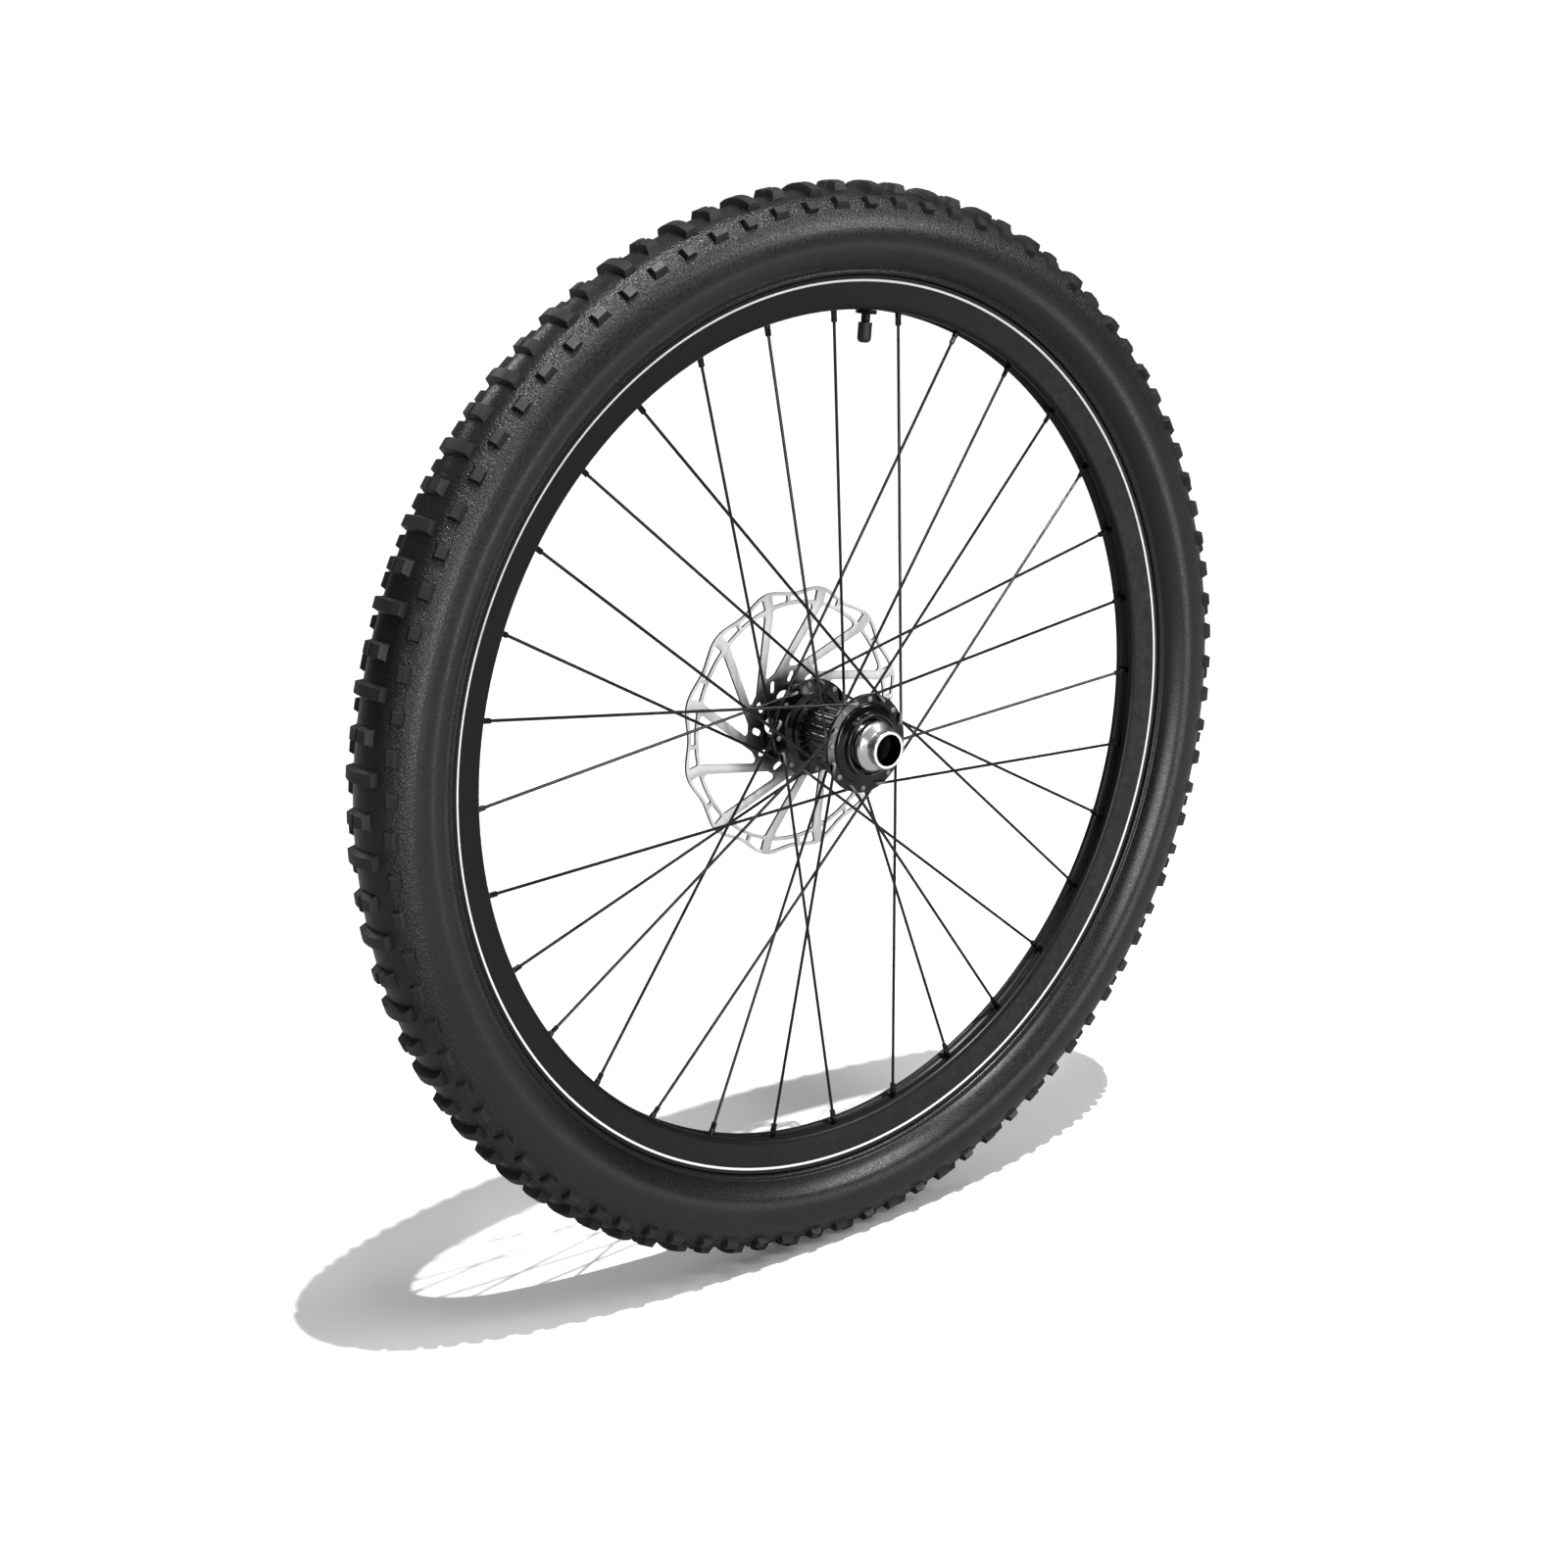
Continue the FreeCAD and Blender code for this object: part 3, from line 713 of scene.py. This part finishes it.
def build_rim():
    outline = rim_outline()
    piece("rim_extrusion", turned(outline, RIM_SEGMENTS), RIM, "wheel", ["rim"], sharp=40.0)
    for name, side in (("right", RIGHT), ("left", LEFT)):
        piece("stripe_" + name, stripe(side), STRIPE, "wheel", ["pinstripe_" + name])


# ---------------------------------------------------------------- spokes

def is_right(index):
    """Every second spoke goes to the right flange."""
    return index % 2 == 1


def is_trailing(index):
    """On each side trailing and leading spokes take turns."""
    return ((index + 1) // 2) % 2 == 1


def spoke_ends(index):
    """The elbow at the flange and the point the spoke is aimed at in the rim."""
    angle = FIRST_NIPPLE + index * 360.0 / SPOKES
    middle = ELBOW_RIGHT if is_right(index) else ELBOW_LEFT
    if is_trailing(index):
        elbow = polar(SPOKE_HOLES_R, angle + TRAILING_TURN, middle + ELBOW_STEP)
    else:
        elbow = polar(SPOKE_HOLES_R, angle + LEADING_TURN, middle - ELBOW_STEP)
    return elbow, polar(AIM_R, angle)


def spoke(index):
    """J-bend spoke with a domed head, a rounded elbow and a straight leg."""
    elbow, aim = spoke_ends(index)
    flange = FLANGE_RIGHT if is_right(index) else FLANGE_LEFT
    face, outward = (flange[0], -1) if is_trailing(index) else (flange[1], 1)
    seat = Vector((elbow.x, face, elbow.z))
    along = (aim - elbow).normalized()
    bend_start = elbow + Vector((0, outward, 0)) * ELBOW_REACH
    bend_end = elbow + along * ELBOW_REACH
    bend = [bend_start * (1 - t) ** 2 + elbow * 2 * t * (1 - t) + bend_end * t ** 2
            for t in (0, 0.2, 0.4, 0.6, 0.8, 1)]
    legs = [elbow + along * d for d in (6.0, 60.0, 130.0, 200.0)]
    root = seat + Vector((0, outward * HEAD_OVERLAP, 0))
    bar = sweep([root] + bend + legs + [aim + along * NIPPLE_OVERLAP], SPOKE_R)
    dome = [(0, 0.05), (1.85, 0.05), (1.9, 0.35), (1.7, 0.72), (1.2, 0.95), (0.6, 1.03), (0, 1.05)]
    head = placed(spindle(dome, 18), aimed(seat, (0, outward, 0)))
    return joined([bar, head])


def square_shank(r, y, angle):
    """Radius of the wrench flats on the nipple's lower part."""
    if y > 5.0 or r < 1.4:
        return r
    return r * 0.95 / (abs(cos(angle)) ** 6 + abs(sin(angle)) ** 6) ** (1 / 6)


def nipple(index):
    """Nipple lying along its spoke, with a square shank and a head inside the rim."""
    elbow, aim = spoke_ends(index)
    along = (aim - elbow).normalized()
    outline = [(1.03, 0.1), (1.35, 0.0), (1.6, 0.3), (1.6, 4.8), (1.95, 5.3), (1.95, 9.2), (1.95, 13.9),
               (3.0, 14.2), (3.0, 16.0), (1.03, 16.0)]
    body = turned(soften(outline, 0.12, 2), 32, square_shank)
    return placed(body, aimed(aim - along * NIPPLE_BACK, along))


def build_spokes():
    for side, on_right in (("right", True), ("left", False)):
        for way, trailing in (("trailing", True), ("leading", False)):
            group = [spoke(i) for i in range(SPOKES)
                     if is_right(i) == on_right and is_trailing(i) == trailing]
            node = "spokes_" + side + "_" + way
            piece("wire_" + node, joined(group), SPOKE, "wheel", [node])
    piece("nipple_set", joined([nipple(i) for i in range(SPOKES)]), BLACK, "wheel",
          ["nipples"])


# ---------------------------------------------------------------- hub

HUB_OUTLINE = [
    (18.5, -36.6), (21.3, -36.6), (21.3, -35.6), (25.6, -34.6), (26.5, -33.9), (26.5, -32.7),
    (32.6, -32.7), (32.6, -30.0), (25.0, -30.0), (22.4, -28.2), (20.6, -26.0), (19.3, -24.0),
    (18.9, -22.0), (18.9, -19.5), (18.9, -17.0), (18.9, -12.0), (18.9, -4.0), (18.9, 4.0), (18.9, 9.0),
    (18.9, 11.5), (18.9, 14.0), (20.4, 15.5), (20.4, 18.5), (23.5, 21.6), (32.6, 21.6), (32.6, 24.4),
    (25.5, 24.4), (25.5, 28.0), (25.5, 36.0), (27.0, 36.5), (27.0, 41.5), (18.95, 41.5),
    (18.95, 43.0), (18.5, 43.0), (18.5, 29.5), (16.9, 29.5), (16.9, 27.0), (14.0, 25.0),
    (14.0, -25.0), (16.9, -27.0), (16.9, -29.5), (18.5, -29.5)]


def hub_skin(r, y, angle):
    """Radius with the barrel's flutes and the rotor boss's scallops."""
    on_barrel = -24.5 < y < 14.2 and 18.0 < r < 19.4
    on_boss = y > 26.0 and r > 22.0
    if on_barrel:
        beyond = max(FLUTE_FROM - y, y - FLUTE_TO, 0.0)
        across = off_centre(angle, FLUTES) * BARREL_R
        inside = FLUTE_CUT_R ** 2 - across ** 2 - beyond ** 2
        return min(r, FLUTE_AXIS_R - sqrt(inside)) if inside > 0 else r
    if on_boss:
        off = off_centre(angle - radians(BOLT_PHASE) - pi / BOLTS, BOLTS)
        inside = SCALLOP_CUT_R ** 2 - (SCALLOP_AXIS_R * sin(off)) ** 2
        return min(r, SCALLOP_AXIS_R * cos(off) - sqrt(inside)) if inside > 0 else r
    return r


def spoke_hole_cutter():
    """One mesh of 32 short bars where the flanges are drilled."""
    bars = []
    for flange, phase in ((FLANGE_RIGHT, HOLE_PHASE_RIGHT), (FLANGE_LEFT, HOLE_PHASE_LEFT)):
        ends = [Vector((SPOKE_HOLES_R, y, 0)) for y in (flange[0] - 1, flange[1] + 1)]
        bar = sweep(ends, SPOKE_HOLE_R, 20)
        bars.append(around(bar, SPOKES // 2, phase))
    return joined(bars)


def drilled(obj, cutter_part):
    """Cuts the bars out of the object and keeps the result as its mesh."""
    cutter = piece("drill", cutter_part, BLACK, "wheel")
    modifier = obj.modifiers.new("holes", "BOOLEAN")
    modifier.operation = "DIFFERENCE"
    modifier.solver = "EXACT"
    modifier.object = cutter
    bpy.context.view_layer.update()
    evaluated = obj.evaluated_get(bpy.context.evaluated_depsgraph_get())
    mesh = bpy.data.meshes.new_from_object(evaluated)
    obj.modifiers.clear()
    obj.data = mesh
    bpy.data.objects.remove(cutter)
    mesh.set_sharp_from_angle(angle=radians(SHARP_EDGE))


def build_hub():
    outline = soften(HUB_OUTLINE, 0.35, 3)
    body = turned(outline, HUB_SEGMENTS, hub_skin)
    shell = piece("hub_body", body, HUB, "wheel", ["hub_shell"])
    drilled(shell, spoke_hole_cutter())
    ring = [(15.0, -36.7), (21.3, -36.7), (21.3, -38.8), (20.7, -39.4), (19.2, -39.4), (18.6, -38.3),
            (15.0, -38.0)]
    cover = turned(soften(ring, 0.3), COVER_SEGMENTS)
    piece("cover_right", cover, HUB, "wheel", ["dust_cover_right"])
    ring = [(15.0, 36.7), (18.45, 36.7), (18.45, 38.3), (15.0, 38.0)]
    cover = turned(soften(ring, 0.2), COVER_SEGMENTS)
    piece("cover_left", cover, HUB, "wheel", ["dust_cover_left"])
    tube = [(12.55, 36.6), (14.6, 36.6), (14.6, 40.5), (16.4, 40.5), (16.4, 43.0), (15.4, 44.0),
           (11.2, 47.0), (11.2, 52.0), (12.65, 52.9), (12.65, 54.5), (12.2, 55.0), (10.05, 55.0),
           (10.05, 44.5), (12.55, 44.5)]
    for name, side in (("right", RIGHT), ("left", LEFT)):
        outline = [(r, side * s) for r, s in soften(tube, 0.25)]
        end_cap = turned(outline, COVER_SEGMENTS)
        piece("cap_" + name, end_cap, SILVER, "axle", ["end_cap_" + name])


def bolt():
    """Button head with a six-lobed socket."""
    top = ROTOR_Y + ROTOR_T

    def star(r, y, angle):
        return r * (1.0 + 0.13 * cos(6 * angle)) if r < 1.75 else r

    shank = [(0, 32.0), (2.45, 32.0), (2.45, top)]
    head = [(4.2, top), (4.25, top + 0.5), (4.05, top + 1.2), (3.5, top + 1.8), (2.7, top + 2.2),
            (1.9, top + 2.38)]
    socket = [(1.7, top + 2.3), (1.68, top + 0.9), (0, top + 0.9)]
    turned_bolt = spindle(shank + head + socket, 72, star)
    return placed(turned_bolt, Matrix.Translation((BOLT_CIRCLE_R, 0, 0)))


def build_bolts():
    piece("bolt_set", around(bolt(), BOLTS, BOLT_PHASE), BLACK, "wheel", ["rotor_bolts"])


# ---------------------------------------------------------------- valve

def on_valve(part):
    """Places a part drawn with y as the wheel radius at the valve's angle."""
    return placed(part, wheel_turn(VALVE_ANGLE) @ Matrix.Rotation(radians(-90), 4, "Z"))


def stem():
    """Valve stem with rings for its thread and a flange inside the rim."""
    thread = []
    for i in range(THREAD_TURNS):
        y = THREAD_START + i * THREAD_PITCH
        thread += [(2.85, y), (3.0, y + 0.3), (3.0, y + 0.5), (2.85, y + 0.8)]
    outline = [(1.5, 256.5), (2.5, 256.5), (2.62, 256.8), (2.62, 267.3)] + thread
    outline += [(3.0, 276.0), (3.0, 289.5), (4.3, 289.5), (4.3, 290.5), (1.5, 290.5)]
    return turned(outline, 48)


def cap():
    """Valve cap: ribbed skirt and a domed end."""
    def ribs(r, y, angle):
        if r > 4.3 and 257.5 < y < 266.0:
            return r * (1.0 - 0.035 * (0.5 + 0.5 * cos(CAP_RIBS * angle)) ** 2)
        return r

    outer = [(2.7, 267.0), (4.2, 267.0), (4.5, 266.6), (4.5, 266.1), (4.5, 265.6), (4.5, 262.0),
             (4.5, 258.2), (4.5, 257.3), (4.35, 256.2), (3.9, 255.2), (3.1, 254.5), (2.0, 254.1),
             (0, 254.0)]
    inner = [(0, 256.2), (2.7, 256.2)]
    return spindle(outer[::-1] + [(2.7, 266.9)] + inner[::-1], 108, ribs)


def nut():
    """Hexagonal lock nut, 12.5 mm across flats, bored for the stem."""
    def hexagon(r, y, angle):
        return min(NUT_HALF_FLATS / cos(off_centre(angle, 6)), r) if r > 4.0 else r

    outline = [(3.05, 272.2), (6.3, 272.2), (7.0, 272.5), (7.22, 272.9), (7.22, 274.3), (6.9, 274.8),
               (3.05, 274.8)]
    return turned(outline, 96, hexagon)


def build_valve():
    piece("stem_threaded", on_valve(stem()), BLACK, "wheel", ["valve_stem"])
    piece("lock_nut", on_valve(nut()), BLACK, "wheel", ["valve_nut"])
    piece("cap_ribbed", on_valve(cap()), PLASTIC, "valve_cap", ["valve_cap"])


# ---------------------------------------------------------------- carried-over CAD nodes

def dress(node, material, bevel=0.0):
    """Gives a CAD node its material, smooth round faces and lightly broken edges."""
    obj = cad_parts[node]
    obj.data.materials.clear()
    obj.data.materials.append(material)
    obj.data.shade_smooth()
    weld = obj.modifiers.new("weld", "WELD")
    weld.merge_threshold = 1e-6
    if bevel:
        broken = obj.modifiers.new("edges", "BEVEL")
        broken.width = bevel * MM
        broken.segments = 2
        broken.limit_method = "ANGLE"
        broken.angle_limit = radians(40)
        broken.harden_normals = True
    obj.data.set_sharp_from_angle(angle=radians(30))


def dress_frame():
    dress("brake_rotor", ROTOR, 0.18)
    dress("axle_tube", BLACK)
    dress("rim_tape", SOFT_RUBBER)
    dress("inner_tube", SOFT_RUBBER)
    dress("valve_core", BRASS)
    for side in ("right", "left"):
        dress("bearing_inner_" + side, STEEL)
        dress("bearing_outer_" + side, STEEL)
        dress("bearing_balls_" + side, STEEL)
        dress("bearing_cage_" + side, NYLON)
        dress("bearing_seals_" + side, SOFT_RUBBER)
        dress("bead_wire_" + side, STEEL)


# ---------------------------------------------------------------- stage

def build_floor():
    mesh = bpy.data.meshes.new("floor")
    half = FLOOR_HALF
    corners = [(x, y, FLOOR_Z) for x, y in ((-half, -half), (half, -half), (half, half), (-half, half))]
    mesh.from_pydata(corners, [], [(0, 1, 2, 3)])
    mesh.materials.append(floor_look("floor_white"))
    floor = bpy.data.objects.new("floor", mesh)
    bpy.context.scene.collection.objects.link(floor)


def build_world():
    """White to the camera; for the wheel a sky that brightens overhead."""
    world = bpy.data.worlds.new("studio")
    bpy.context.scene.world = world
    world.use_nodes = True
    background = world.node_tree.nodes["Background"]
    background.inputs["Color"].default_value = (1.0, 1.0, 1.0, 1.0)
    nodes, links = world.node_tree.nodes, world.node_tree.links
    split = nodes.new("ShaderNodeSeparateXYZ")
    links.new(nodes.new("ShaderNodeTexCoord").outputs["Generated"], split.inputs["Vector"])
    overhead = nodes.new("ShaderNodeMapRange")
    overhead.inputs["From Min"].default_value = 0.25
    overhead.inputs["From Max"].default_value = 0.85
    overhead.inputs["To Min"].default_value = SKY_LOW
    overhead.inputs["To Max"].default_value = SKY_HIGH
    links.new(split.outputs["Z"], overhead.inputs["Value"])
    choice = nodes.new("ShaderNodeMix")
    links.new(nodes.new("ShaderNodeLightPath").outputs["Is Camera Ray"], choice.inputs["Factor"])
    links.new(overhead.outputs["Result"], choice.inputs["A"])
    choice.inputs["B"].default_value = 1.0
    links.new(choice.outputs["Result"], background.inputs["Strength"])


def build_sun():
    """The key light, which throws the shadow on the floor."""
    lamp = bpy.data.lights.new("key", "SUN")
    lamp.energy = SUN_STRENGTH
    lamp.angle = radians(SUN_SPREAD)
    key = bpy.data.objects.new("key", lamp)
    bpy.context.scene.collection.objects.link(key)
    key.rotation_euler = Vector(SUN_TOWARD).to_track_quat("Z", "Y").to_euler()


def softbox(name, place, width, height, power):
    """Soft panel aimed at the wheel's centre."""
    lamp = bpy.data.lights.new(name, "AREA")
    lamp.shape = "RECTANGLE"
    lamp.size = width
    lamp.size_y = height
    lamp.energy = power
    panel = bpy.data.objects.new(name, lamp)
    bpy.context.scene.collection.objects.link(panel)
    panel.location = place
    panel.rotation_euler = Vector(place).to_track_quat("Z", "Y").to_euler()


def build_camera():
    data = bpy.data.cameras.new("view")
    data.lens = LENS
    data.sensor_width = 36.0
    data.shift_x, data.shift_y = SHIFT
    data.clip_end = 60.0
    camera = bpy.data.objects.new("view", data)
    bpy.context.scene.collection.objects.link(camera)
    camera.location = CAMERA_PLACE
    ahead = Vector(CAMERA_TARGET) - camera.location
    turn = ahead.to_track_quat("-Z", "Y").to_matrix().to_4x4()
    roll = Matrix.Rotation(radians(CAMERA_ROLL), 4, "Z")
    camera.matrix_world = Matrix.Translation(camera.location) @ turn @ roll
    bpy.context.scene.camera = camera


build_tyre()
build_rim()
build_spokes()
build_hub()
build_bolts()
build_valve()
dress_frame()
build_floor()
build_world()
build_sun()
for panel in SOFTBOXES:
    softbox(*panel)
build_camera()
bpy.context.scene.view_settings.view_transform = "Standard"
